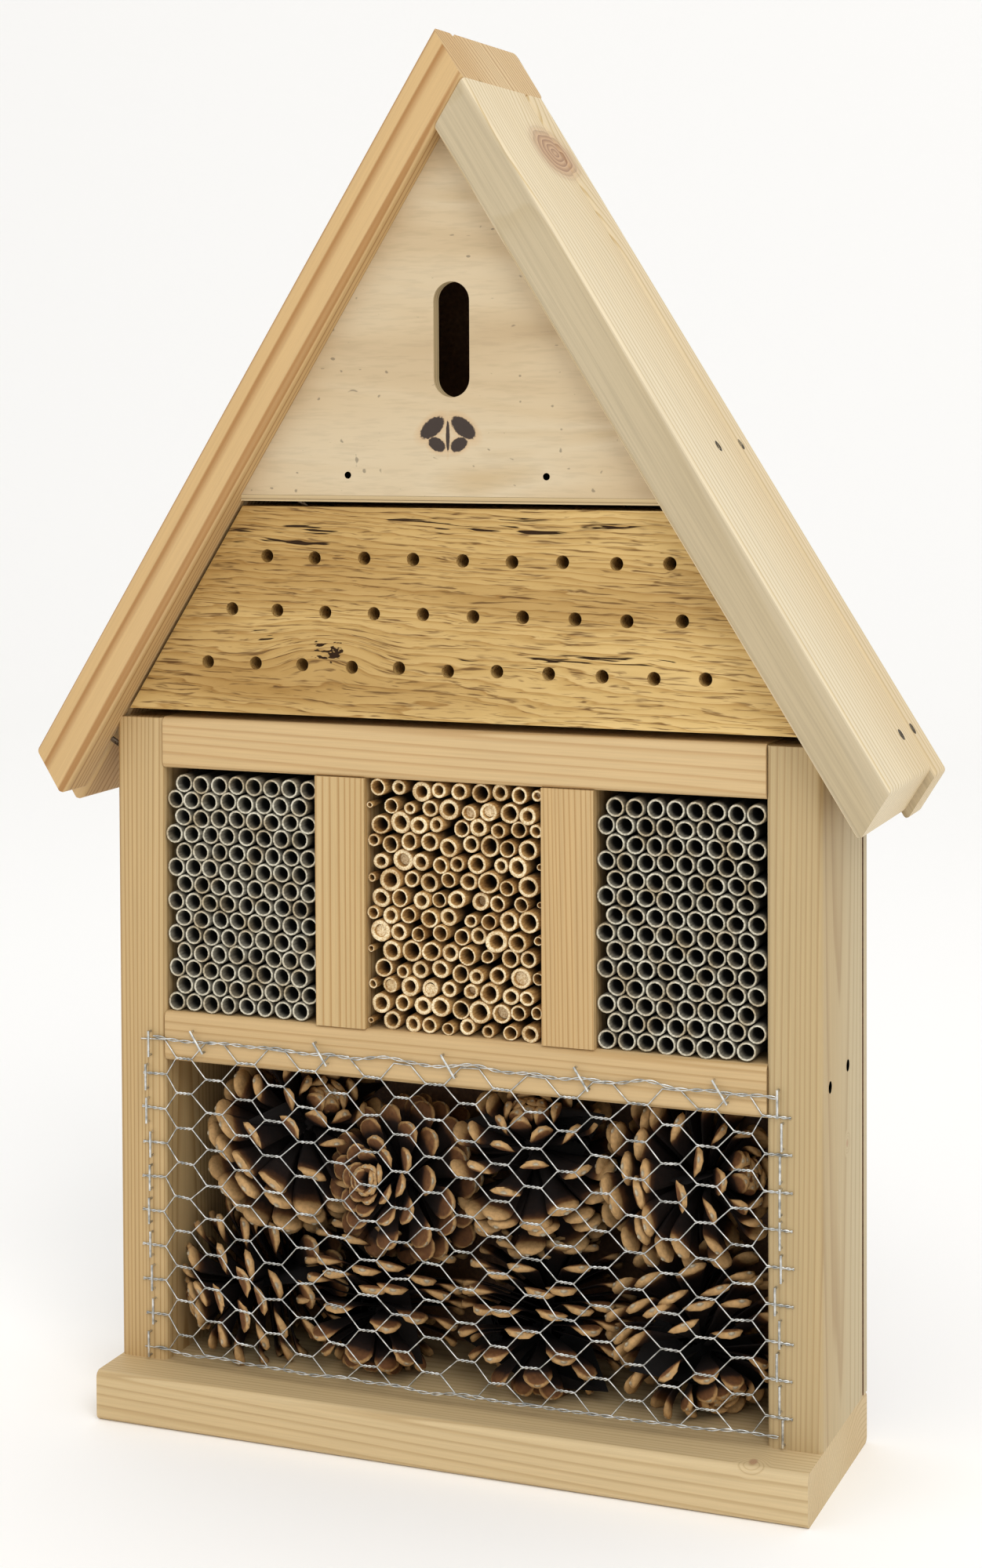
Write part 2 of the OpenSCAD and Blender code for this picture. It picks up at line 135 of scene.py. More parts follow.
# %% [markdown]
# ## Planed softwood
# Spruce is sawn from a trunk that is a stack of cones around the pith. The pattern does the same:
# the distance from the pith, divided by the width of a growth ring, gives a saw wave. Pale early
# wood rises slowly to dark late wood and then drops at once. Because the pattern is solid, a long
# face shows stripes or arches, and an end shows arcs, from the same numbers.
# A knot is a branch, so it is a line through the board. Near it the rings swell and close round it,
# and inside it the branch shows finer rings of its own. ALONG is how much slower wood changes along
# the grain than across it, and KNOT_REACH how many of its radii away a knot still bends the rings.

# %% Planed spruce
TONE_BAND = 38 * MM
FIBRE = 0.75 * MM
ALONG = 14
KNOT_REACH = 4.5
KNOT_RINGS = 6


def planed_spruce(name, grain, pith, ring=2.2, tilt=(0, 0), light="#d3b88a", dark="#b89a68", knots=(),
                  streak=0.5, sawn=None):
    """Spruce whose grain lies grain degrees below +X in the XZ plane, and tilt degrees off that. pith is
    a point on the trunk's middle and ring the mean ring width, in mm. knots are (middle, direction of the
    branch, radius, width along Y as a multiple of the radius). streak is how strongly the fibres show, and
    sawn the colour of a front edge that was left fuzzy."""
    material, tree, shader = new_material(name, 0.62)
    place = add(tree, "TexCoord").outputs["Object"]
    turn = (0, math.radians(grain + tilt[0]), math.radians(tilt[1]))
    board = add(tree, "Mapping", {"Vector": place, "Location": at(*pith), "Rotation": turn,
                                  "Scale": (ALONG, 1, 1)}, **PATTERN).outputs[0]
    # the trunk's middle line wanders slowly by a few millimetres
    wander = add(tree, "TexNoise", {"Vector": board, "Scale": 1 / TONE_BAND, "Detail": 2}).outputs["Color"]
    bent = add(tree, "VectorMath", {0: wander, 1: (0, 0.006, 0.006), 2: board},
               operation="MULTIPLY_ADD").outputs[0]
    across = add(tree, "VectorMath", {0: bent, 1: (0, 1, 1)}, operation="MULTIPLY").outputs[0]
    radius = add(tree, "VectorMath", {0: across}, operation="LENGTH").outputs["Value"]
    count = add(tree, "Math", {0: radius, 1: 1 / (ring * MM)}, operation="MULTIPLY").outputs[0]
    # good and poor years make wide and narrow rings
    years = add(tree, "TexNoise", {"W": count, "Scale": 0.16, "Detail": 1}, noise_dimensions="1D").outputs[0]
    count = add(tree, "Math", {0: years, 1: 2.6, 2: count}, operation="MULTIPLY_ADD").outputs[0]
    inside = 0.0
    nearest = 100.0
    for middle, branch, knot_r, wide in knots:
        away = add(tree, "VectorMath", {0: place, 1: at(*middle)}, operation="SUBTRACT").outputs[0]
        away = add(tree, "VectorMath", {0: away, 1: (1, 1 / wide, 1)}, operation="MULTIPLY").outputs[0]
        side = add(tree, "VectorMath", {0: away, 1: Vector(branch).normalized()},
                   operation="CROSS_PRODUCT").outputs[0]
        off = add(tree, "VectorMath", {0: side}, operation="LENGTH").outputs["Value"]
        rough = add(tree, "TexNoise", {"Vector": away, "Scale": 90, "Detail": 2}).outputs[0]
        off = add(tree, "Math", {0: rough, 1: 0.35 * knot_r * MM, 2: off},
                  operation="MULTIPLY_ADD").outputs[0]
        reach = add(tree, "Math", {0: off, 1: 1 / (knot_r * MM)}, operation="MULTIPLY").outputs[0]
        swell = add(tree, "MapRange", {"Value": reach, "From Max": KNOT_REACH, "To Min": 1, "To Max": 0},
                    interpolation_type="SMOOTHERSTEP").outputs[0]
        count = add(tree, "Math", {0: swell, 1: 3.2, 2: count}, operation="MULTIPLY_ADD").outputs[0]
        core = add(tree, "MapRange", {"Value": reach, "From Min": 0.7, "From Max": 1.35, "To Min": 1,
                                      "To Max": 0}, interpolation_type="SMOOTHSTEP").outputs[0]
        inside = add(tree, "Math", {0: inside, 1: core}, operation="MAXIMUM").outputs[0]
        nearest = add(tree, "Math", {0: nearest, 1: reach}, operation="MINIMUM").outputs[0]
    year = add(tree, "Math", {0: count}, operation="FRACT").outputs[0]
    wood = add(tree, "ValToRGB", {"Fac": year},
               stops=[(0, light), (0.58, light), (0.87, dark), (0.93, dark), (1, light)]).outputs[0]
    # real fibres are too fine to show, so they are drawn as coarse as they need to be
    thread = add(tree, "Mapping", {"Vector": board, "Scale": (0.2, 1, 1)}).outputs[0]
    fibres = add(tree, "TexNoise", {"Vector": thread, "Scale": 1 / FIBRE, "Detail": 3,
                                    "Roughness": 0.6}).outputs[0]
    shade = add(tree, "ValToRGB", {"Fac": fibres}, stops=[(0.3, 0.80), (0.62, 1.0)]).outputs[0]
    wood = add(tree, "Mix", {0: streak, 6: wood, 7: shade}, **MULTIPLY).outputs[2]
    tone = add(tree, "TexNoise", {"Vector": board, "Scale": 0.5 / TONE_BAND, "Detail": 1}).outputs[0]
    tone = add(tree, "ValToRGB", {"Fac": tone}, stops=[(0.3, "#efe2cc"), (0.7, "#ffffff")]).outputs[0]
    wood = add(tree, "Mix", {0: 1.0, 6: wood, 7: tone}, **MULTIPLY).outputs[2]
    if knots:
        # a branch has rings of its own
        rings = add(tree, "Math", {0: nearest, 1: KNOT_RINGS}, operation="MULTIPLY").outputs[0]
        rings = add(tree, "Math", {0: rings}, operation="FRACT").outputs[0]
        heart = add(tree, "ValToRGB", {"Fac": rings},
                    stops=[(0, "#c4a27e"), (0.5, "#b08c68"), (1, "#8b664a")]).outputs[0]
        wood = add(tree, "Mix", {0: inside, 6: wood, 7: heart}, **BLEND).outputs[2]
    if sawn:
        ahead = add(tree, "SeparateXYZ", {0: add(tree, "NewGeometry").outputs["Normal"]}).outputs["Y"]
        ahead = add(tree, "MapRange", {"Value": ahead, "From Min": -0.6, "From Max": -0.9,
                                       "To Max": 0.85}).outputs[0]
        fuzzy = add(tree, "Mix", {0: 0.8, 6: linear(sawn), 7: shade}, **MULTIPLY).outputs[2]
        wood = add(tree, "Mix", {0: ahead, 6: wood, 7: fuzzy}, **BLEND).outputs[2]
    tree.links.new(wood, shader.inputs["Base Color"])
    relief = add(tree, "Bump", {"Height": fibres, "Strength": 0.35, "Distance": 0.12 * MM}).outputs[0]
    tree.links.new(relief, shader.inputs["Normal"])
    return material


# %% [markdown]
# Each board gets its own place in a trunk. The posts show straight narrow stripes because their
# pith lies far to the side. The roof boards are quarter-sawn, with the pith far in front of them:
# their wide faces show fine straight lines, and the rings cross the thickness of the end at the
# ridge. The two boards of a slope are treated as one plank, so the figure runs over their joint.

# %% Softwood of every board
UP = -90
RIGHT_SLOPE = PITCH
LEFT_SLOPE = 180 - PITCH
right_normal = (math.sin(math.radians(PITCH)), 0, math.cos(math.radians(PITCH)))

boards = {
    "base_board": planed_spruce("planed spruce, base", 0, (0, 60, -22), 2.1, (0.3, 0.9),
                                "#d0bb92", "#bea67b", [((118, -12, 17), (0.1, -1, 0.8), 1.8, 1)]),
    "side_board_left": planed_spruce("planed spruce, left side", UP, (-96, 20, 100), 1.7, (0.3, 0),
                                     "#c6ac7e", "#ab8c5b"),
    "side_board_right": planed_spruce("planed spruce, right side", UP, (60, 24, 100), 2.0, (0.5, 0),
                                      "#c0ae88", "#b09a73", [((139, 35.6, 119.3), (1, 0, 0.1), 1.3, 1)]),
    "top_rail": planed_spruce("planed spruce, top rail", 0, (0, 96, 222), 1.7, (0.4, 0.8),
                              "#cfb486", "#bf9f6f"),
    "middle_rail": planed_spruce("planed spruce, middle rail", 0, (0, 70, 116), 2.1, (-0.4, 0.5),
                                 "#ccb184", "#ba9c6c"),
    "mullion_left": planed_spruce("planed spruce, left mullion", UP, (-80, 30, 200), 2.0, (0.3, 0),
                                  "#c8ad7d", "#af8c58"),
    "mullion_right": planed_spruce("planed spruce, right mullion", UP, (92, 22, 200), 1.6, (-0.3, 0),
                                   "#ccb183", "#b39260"),
    "roof_left_front": planed_spruce("planed spruce, left slope", LEFT_SLOPE, (-4, -105, 424), 3.0,
                                     (0.5, 0), "#d4b98c", "#ad8450", streak=0.45),
    "roof_right_front": planed_spruce("planed spruce, right slope", RIGHT_SLOPE, (31, -110, 452), 3.4,
                                      (0.3, 0), "#e4d6b8", "#cbb68a",
                                      [((26, 42, 479.4), right_normal, 12.5, 1.7)], 0.6, "#b2a181"),
    "gable_shelf": planed_spruce("planed spruce, shelf", 0, (0, 70, 300), 2.5, (0.4, 0.5)),
}
boards["roof_left_rear"] = boards["roof_left_front"]
boards["roof_right_rear"] = boards["roof_right_front"]
for name, material in boards.items():
    dress(name, material)
print("softwood on", len(boards), "boards")

# %% [markdown]
# ## Birch-faced plywood with a burnt butterfly
# The gable is a sheet of plywood. Its face is peeled from the log, so the figure is faint and wide.
# Its cut edges show the plies, with dark glue lines between them. A hot iron has burnt a small
# butterfly under the slot: five ovals, each a circle that is squeezed and turned, and the nearest wins.
# DEEP stretches them through the whole sheet.

# %% Plywood gable
gable_low, gable_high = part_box("gable_panel")
PLIES = 3
DEEP = 1e3


def birch_plywood():
    material, tree, shader = new_material("sanded birch plywood", 0.55)
    place = add(tree, "TexCoord").outputs["Object"]
    sheet = add(tree, "Mapping", {"Vector": place, "Scale": (7, 1, 1), "Location": at(40, 0, 380),
                                  "Rotation": (0, 0.03, 0)}, **PATTERN).outputs[0]
    figure = add(tree, "TexNoise", {"Vector": sheet, "Scale": 42, "Detail": 2, "Distortion": 0.6}).outputs[0]
    face = add(tree, "ValToRGB", {"Fac": figure},
               stops=[(0.28, "#b79f7a"), (0.45, "#c3ad89"), (0.6, "#c8b594"), (0.75, "#b89e74")]).outputs[0]
    hair = add(tree, "Mapping", {"Vector": place, "Scale": (9, 1, 1)}, **PATTERN).outputs[0]
    hairs = add(tree, "TexNoise", {"Vector": hair, "Scale": 900, "Detail": 2}).outputs[0]
    shade = add(tree, "ValToRGB", {"Fac": hairs}, stops=[(0.34, 0.86), (0.52, 1.0)]).outputs[0]
    face = add(tree, "Mix", {0: 0.55, 6: face, 7: shade}, **MULTIPLY).outputs[2]
    # a few tiny dark flecks
    pin = add(tree, "Mapping", {"Vector": place, "Scale": (1.6, 1, 1)}, **PATTERN).outputs[0]
    fleck = add(tree, "TexNoise", {"Vector": pin, "Scale": 520, "Detail": 0}).outputs[0]
    fleck = add(tree, "ValToRGB", {"Fac": fleck}, stops=[(0.80, 1.0), (0.84, 0.4)]).outputs[0]
    face = add(tree, "Mix", {0: 0.8, 6: face, 7: fleck}, **MULTIPLY).outputs[2]
    # the butterfly: (middle x, middle z, half width, half height, turn) of each oval
    nearest = 100.0
    for x, z, wide, high, turn in [(-5.2, 377.5, 6.0, 3.3, -38), (7.0, 377.5, 6.0, 3.3, 38),
                                   (-3.4, 371.4, 3.9, 2.6, 30), (5.2, 371.4, 3.9, 2.6, -30),
                                   (0.9, 374.5, 0.8, 6.0, 0)]:
        oval = add(tree, "Mapping", {"Vector": place, "Location": at(x, 0, z),
                                     "Scale": (wide * MM, DEEP, high * MM),
                                     "Rotation": (0, math.radians(turn), 0)}, **PATTERN).outputs[0]
        size = add(tree, "VectorMath", {0: oval}, operation="LENGTH").outputs["Value"]
        nearest = add(tree, "Math", {0: nearest, 1: size}, operation="MINIMUM").outputs[0]
    ragged = add(tree, "TexNoise", {"Vector": place, "Scale": 1100, "Detail": 2}).outputs[0]
    nearest = add(tree, "Math", {0: ragged, 1: 0.3, 2: nearest}, operation="MULTIPLY_ADD").outputs[0]
    scorch = add(tree, "MapRange", {"Value": nearest, "From Min": 1.0, "From Max": 1.12, "To Min": 1,
                                    "To Max": 0}).outputs[0]
    halo = add(tree, "MapRange", {"Value": nearest, "From Min": 1.0, "From Max": 1.7, "To Min": 0.35,
                                  "To Max": 0}).outputs[0]
    face = add(tree, "Mix", {0: halo, 6: face, 7: linear("#b98547")}, **BLEND).outputs[2]
    face = add(tree, "Mix", {0: scorch, 6: face, 7: linear("#2e1e12")}, **BLEND).outputs[2]
    # plies on the cut edges, counted from the front
    depth = add(tree, "SeparateXYZ", {0: place}).outputs["Y"]
    depth = add(tree, "MapRange", {"Value": depth, "From Min": gable_low.y, "From Max": gable_high.y,
                                   "To Max": PLIES}).outputs[0]
    ply = add(tree, "Math", {0: depth}, operation="FRACT").outputs[0]
    edge = add(tree, "ValToRGB", {"Fac": ply},
               stops=[(0, "#6d5636"), (0.14, "#d3bd92"), (0.86, "#c9b186"), (1, "#6d5636")]).outputs[0]
    normal = add(tree, "SeparateXYZ", {0: add(tree, "NewGeometry").outputs["Normal"]}).outputs["Y"]
    flat = add(tree, "Math", {0: normal}, operation="ABSOLUTE").outputs[0]
    flat = add(tree, "MapRange", {"Value": flat, "From Min": 0.8, "From Max": 0.95}).outputs[0]
    colour = add(tree, "Mix", {0: flat, 6: edge, 7: face}, **BLEND).outputs[2]
    tree.links.new(colour, shader.inputs["Base Color"])
    relief = add(tree, "Bump", {"Height": hairs, "Strength": 0.2, "Distance": 0.06 * MM}).outputs[0]
    tree.links.new(relief, shader.inputs["Normal"])
    return material


dress("gable_panel", birch_plywood())
print("plywood gable with", PLIES, "plies")

# %% [markdown]
# ## Planed oak with drying checks
# Oak is coarser than spruce: wavy rings under broad darker patches, and pores that show as short
# dark dashes along the grain. As the block dried it cracked, mostly near its upper edge, and a small
# burl makes the grain swirl. The dashes are the low spots of a stretched noise. The cracks are the
# high spots of a longer one, kept to five ovals. A crack also takes the shine off the wood.

# %% Oak block


def planed_oak():
    material, tree, shader = new_material("planed oak with checks", 0.62)
    shader.inputs["Specular IOR Level"].default_value = 0.2
    place = add(tree, "TexCoord").outputs["Object"]
    # the grain lifts over the burl
    burl = add(tree, "Mapping", {"Vector": place, "Location": at(-49, 0, 294.5),
                                 "Scale": (0.020, DEEP, 0.009)}, **PATTERN).outputs[0]
    burl = add(tree, "VectorMath", {0: burl}, operation="LENGTH").outputs["Value"]
    lift = add(tree, "MapRange", {"Value": burl, "From Max": 1.9, "To Min": 0.006, "To Max": 0},
               interpolation_type="SMOOTHERSTEP").outputs[0]
    lift = add(tree, "CombineXYZ", {"Z": lift}).outputs[0]
    plank = add(tree, "VectorMath", {0: place, 1: lift}, operation="SUBTRACT").outputs[0]
    plank = add(tree, "Mapping", {"Vector": plank, "Location": at(0, 110, 235), "Scale": (7, 1, 1),
                                  "Rotation": (0, 0.02, 0.02)}, **PATTERN).outputs[0]
    wave = add(tree, "TexNoise", {"Vector": plank, "Scale": 60, "Detail": 4,
                                  "Roughness": 0.6}).outputs["Color"]
    bent = add(tree, "VectorMath", {0: wave, 1: (0, 0.010, 0.010), 2: plank},
               operation="MULTIPLY_ADD").outputs[0]
    across = add(tree, "VectorMath", {0: bent, 1: (0, 1, 1)}, operation="MULTIPLY").outputs[0]
    radius = add(tree, "VectorMath", {0: across}, operation="LENGTH").outputs["Value"]
    count = add(tree, "Math", {0: radius, 1: 1 / (1.7 * MM)}, operation="MULTIPLY").outputs[0]
    year = add(tree, "Math", {0: count}, operation="FRACT").outputs[0]
    wood = add(tree, "ValToRGB", {"Fac": year},
               stops=[(0, "#d5bb85"), (0.5, "#d0b57d"), (0.84, "#c0a269"), (0.93, "#b2915a"),
                      (1, "#d5bb85")]).outputs[0]
    patch = add(tree, "TexNoise", {"Vector": plank, "Scale": 26, "Detail": 3}).outputs[0]
    patch = add(tree, "ValToRGB", {"Fac": patch}, stops=[(0.32, "#c4ae8a"), (0.62, "#fff8ea")]).outputs[0]
    wood = add(tree, "Mix", {0: 1.0, 6: wood, 7: patch}, **MULTIPLY).outputs[2]
    # pores are thin dashes one or two centimetres long
    dash = add(tree, "Mapping", {"Vector": bent, "Scale": (0.3, 1, 1)}).outputs[0]
    pores = add(tree, "TexNoise", {"Vector": dash, "Scale": 1300, "Detail": 2, "Roughness": 0.6}).outputs[0]
    pore = add(tree, "ValToRGB", {"Fac": pores}, stops=[(0.32, "#6b4a22"), (0.46, "#ffffff")]).outputs[0]
    wood = add(tree, "Mix", {0: 0.75, 6: wood, 7: pore}, **MULTIPLY).outputs[2]
    # cracks in an oval each: (middle x, middle z, half width, half height, least noise, stretch)
    deep = 0.0
    for x, z, wide, high, least, thin in [(-70, 337.5, 44, 5, 0.53, 0.3), (25, 342, 75, 4.5, 0.54, 0.22),
                                          (40, 293, 60, 7, 0.60, 0.3), (-72, 300, 16, 4, 0.56, 0.5),
                                          (-49, 294.5, 9, 5.5, 0.50, 2.5)]:
        band = add(tree, "Mapping", {"Vector": place, "Location": at(x, 0, z),
                                     "Scale": (wide * MM, DEEP, high * MM)}, **PATTERN).outputs[0]
        band = add(tree, "VectorMath", {0: band}, operation="LENGTH").outputs["Value"]
        limit = add(tree, "MapRange", {"Value": band, "From Min": 0.5, "From Max": 1.3, "To Min": least,
                                       "To Max": 0.85}).outputs[0]
        split = add(tree, "Mapping", {"Vector": bent, "Scale": (thin, 1, 1)}).outputs[0]
        split = add(tree, "TexNoise", {"Vector": split, "Scale": 620, "Detail": 2,
                                       "Roughness": 0.6}).outputs[0]
        gap = add(tree, "Math", {0: split, 1: limit}, operation="SUBTRACT").outputs[0]
        gap = add(tree, "MapRange", {"Value": gap, "From Max": 0.035}).outputs[0]
        deep = add(tree, "Math", {0: deep, 1: gap}, operation="MAXIMUM").outputs[0]
    wood = add(tree, "Mix", {0: deep, 6: wood, 7: linear("#2e1d0d")}, **BLEND).outputs[2]
    tree.links.new(wood, shader.inputs["Base Color"])
    matt = add(tree, "MapRange", {"Value": deep, "To Min": 0.62, "To Max": 1.0}).outputs[0]
    tree.links.new(matt, shader.inputs["Roughness"])
    relief = add(tree, "Bump", {"Height": pores, "Strength": 0.3, "Distance": 0.12 * MM}).outputs[0]
    tree.links.new(relief, shader.inputs["Normal"])
    return material


dress("nesting_block", planed_oak())
print("oak on the nesting block")

# %% [markdown]
# ## Hardboard and metal
# The back is hardboard, pressed from wood fibre: brown, smooth and finely speckled, with soft clouds.
# The nails are plain steel gone dull, the screws are yellow zinc plated, and the wire is galvanised,
# which is a bright grey with soft cloudy patches. A metal takes its look from its colour and its roughness.

# %% Hardboard, steel and zinc


def hardboard():
    material, tree, shader = new_material("pressed hardboard", 0.5)
    place = add(tree, "TexCoord").outputs["Object"]
    speck = add(tree, "TexNoise", {"Vector": place, "Scale": 700, "Detail": 4, "Roughness": 0.7}).outputs[0]
    colour = add(tree, "ValToRGB", {"Fac": speck},
                 stops=[(0.3, "#563a24"), (0.55, "#6f4f33"), (0.75, "#876547")]).outputs[0]
    cloud = add(tree, "TexNoise", {"Vector": place, "Scale": 22, "Detail": 3}).outputs[0]
    cloud = add(tree, "ValToRGB", {"Fac": cloud}, stops=[(0.3, "#d8cfc6"), (0.65, "#ffffff")]).outputs[0]
    colour = add(tree, "Mix", {0: 1.0, 6: colour, 7: cloud}, **MULTIPLY).outputs[2]
    # the sawn edge is paler than the pressed face
    normal = add(tree, "SeparateXYZ", {0: add(tree, "NewGeometry").outputs["Normal"]}).outputs["Y"]
    flat = add(tree, "Math", {0: normal}, operation="ABSOLUTE").outputs[0]
    flat = add(tree, "MapRange", {"Value": flat, "From Min": 0.5, "From Max": 0.9}).outputs[0]
    colour = add(tree, "Mix", {0: flat, 6: linear("#b8a680"), 7: colour}, **BLEND).outputs[2]
    tree.links.new(colour, shader.inputs["Base Color"])
    relief = add(tree, "Bump", {"Height": speck, "Strength": 0.3, "Distance": 0.08 * MM}).outputs[0]
    tree.links.new(relief, shader.inputs["Normal"])
    return material


def metal(name, dull, bright, roughness, cloud):
    """A metal whose colour drifts between two tones over cloud millimetres."""
    material, tree, shader = new_material(name, roughness)
    shader.inputs["Metallic"].default_value = 1.0
    place = add(tree, "TexCoord").outputs["Object"]
    drift = add(tree, "TexNoise", {"Vector": place, "Scale": 1 / (cloud * MM), "Detail": 3}).outputs[0]
    colour = add(tree, "ValToRGB", {"Fac": drift}, stops=[(0.35, dull), (0.65, bright)]).outputs[0]
    tree.links.new(colour, shader.inputs["Base Color"])
    finish = add(tree, "MapRange", {"Value": drift, "To Min": roughness + 0.12,
                                    "To Max": roughness - 0.08}).outputs[0]
    tree.links.new(finish, shader.inputs["Roughness"])
    return material


galvanised = metal("galvanised wire", "#9b9c98", "#e2e3e0", 0.38, 2.5)
finishes = {
    hardboard(): ["back_panel"],
    metal("dull steel nails", "#4b3d2e", "#7c7468", 0.5, 1.5): ["gable_nails", "roof_nails", "side_nails",
                                                                "panel_nails"],
    metal("yellow zinc screws", "#a88a3c", "#d6bd6c", 0.35, 2.0): ["base_screws"],
    galvanised: ["staples_rail", "staples_left", "staples_right"],
}
for material, names in finishes.items():
    for name in names:
        dress(name, material)
print("hardboard and metal on", sum(len(names) for names in finishes.values()), "nodes")

# %% [markdown]
# ## Where the tubes and stems lie
# The frame holds every tube and stem as a plain cylinder. Each one is a loose island of its node's
# mesh, so a copy of the mesh, with its doubled corners merged, gives each island's box. A second
# helper hands a finished mesh over: it rides on the root body and stands for the frame's nodes.

# %% Find the islands


def islands(name):
    """(lowest corner, highest corner) of each separate solid in a CAD node."""
    bm = bmesh.new()
    bm.from_mesh(nodes[name].data)
    bmesh.ops.remove_doubles(bm, verts=bm.verts, dist=1e-6)
    found = []
    seen = set()
    for first in bm.verts:
        if first in seen:
            continue
        seen.add(first)
        queue = [first]
        group = []
        while queue:
            vert = queue.pop()
            group.append(vert.co.copy())
            for edge in vert.link_edges:
                other = edge.other_vert(vert)
                if other not in seen:
                    seen.add(other)
                    queue.append(other)
        found.append((Vector(map(min, zip(*group))), Vector(map(max, zip(*group)))))
    bm.free()
    return found


def finish_piece(name, bm, material, replaced):
    """Turns a bmesh into a piece that rides on the root body and stands for nodes of the frame."""
    bmesh.ops.recalc_face_normals(bm, faces=bm.faces)
    mesh = bpy.data.meshes.new(name)
    bm.to_mesh(mesh)
    bm.free()
    mesh.materials.append(material)
    mesh.polygons.foreach_set("use_smooth", [True] * len(mesh.polygons))
    piece = bpy.data.objects.new(name, mesh)
    bpy.context.scene.collection.objects.link(piece)
    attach(piece, "root")
    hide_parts(*replaced)
    print(name, "has", len(mesh.polygons), "faces")


# %% [markdown]
# ## Hollow stems
# A tube is one ring of edges, extruded again and again: along the outside, over the rim, and down
# the bore to a floor deep inside, where no light reaches. Paper tubes get dented and lean a little,
# and reeds are oval with a torn rim. Every stem draws its own random numbers from its own seed.

# %% Stem builder
RIM = 1.0
LEAN = 0.35


def stem(bm, low, high, bore, depth, seed, oval, fray, sides=14):
    """Adds a hollow stem in the box from low to high, in metres. bore is the hole's share of the radius
    and depth its depth, oval the most that a stem is squeezed, and fray how far the rim is torn."""
    draw = random.Random(seed)
    radius = (high.x - low.x) / 2
    length = high.y - low.y
    verts = bmesh.ops.create_circle(bm, segments=sides, radius=radius)["verts"]
    every = list(verts)
    edges = list({edge for vert in verts for edge in vert.link_edges})
    lip = 0.05 * radius
    hole = radius * bore
    now, height = radius, 0.0
    for size, place in [(radius, length - 0.5 * MM), (radius - lip, length), (hole + lip, length),
                        (hole, length - 0.6 * MM), (hole * 0.96, length - depth)]:
        made = bmesh.ops.extrude_edge_only(bm, edges=edges)["geom"]
        verts = [g for g in made if isinstance(g, bmesh.types.BMVert)]
        edges = [g for g in made if isinstance(g, bmesh.types.BMEdge)]
        bmesh.ops.scale(bm, vec=(size / now, size / now, 1), verts=verts)
        bmesh.ops.translate(bm, vec=(0, 0, place - height), verts=verts)
        now, height = size, place
        every += verts
    bmesh.ops.edgeloop_fill(bm, edges=edges)
    squeeze = draw.uniform(0, oval)
    angle = draw.uniform(0, math.pi)
    offset = Vector((draw.uniform(0, 50), draw.uniform(0, 50), seed))
    flat = Matrix.Rotation(angle, 4, "Z") @ Matrix.Diagonal((1, 1 - squeeze, 1, 1))
    bmesh.ops.transform(bm, matrix=flat @ Matrix.Rotation(-angle, 4, "Z"), verts=every)
    for vert in every:
        if vert.co.z > length - RIM * MM:
            vert.co.z -= fray * (0.5 + 0.5 * noise.noise(vert.co * 900 + offset))
    middle = Vector(((low.x + high.x) / 2, high.y, (low.z + high.z) / 2))
    lean = Matrix.Rotation(math.radians(draw.uniform(-LEAN, LEAN)), 4, "X")
    stand = Matrix.Translation(middle) @ lean @ Matrix.Rotation(math.radians(90), 4, "X")
    bmesh.ops.transform(bm, matrix=stand, verts=every)
    return middle, hole


# %% [markdown]
# ## Rolled paper
# The tubes are rolled from grey recycled paper. The cut rim is paler than the rolled face, and the
# bore falls into shadow. The rim is told from the wall by which way its surface faces, so the two
# finishes need no seam: a share of the surface's normal along Y picks between them.

# %% Paper and reed finishes


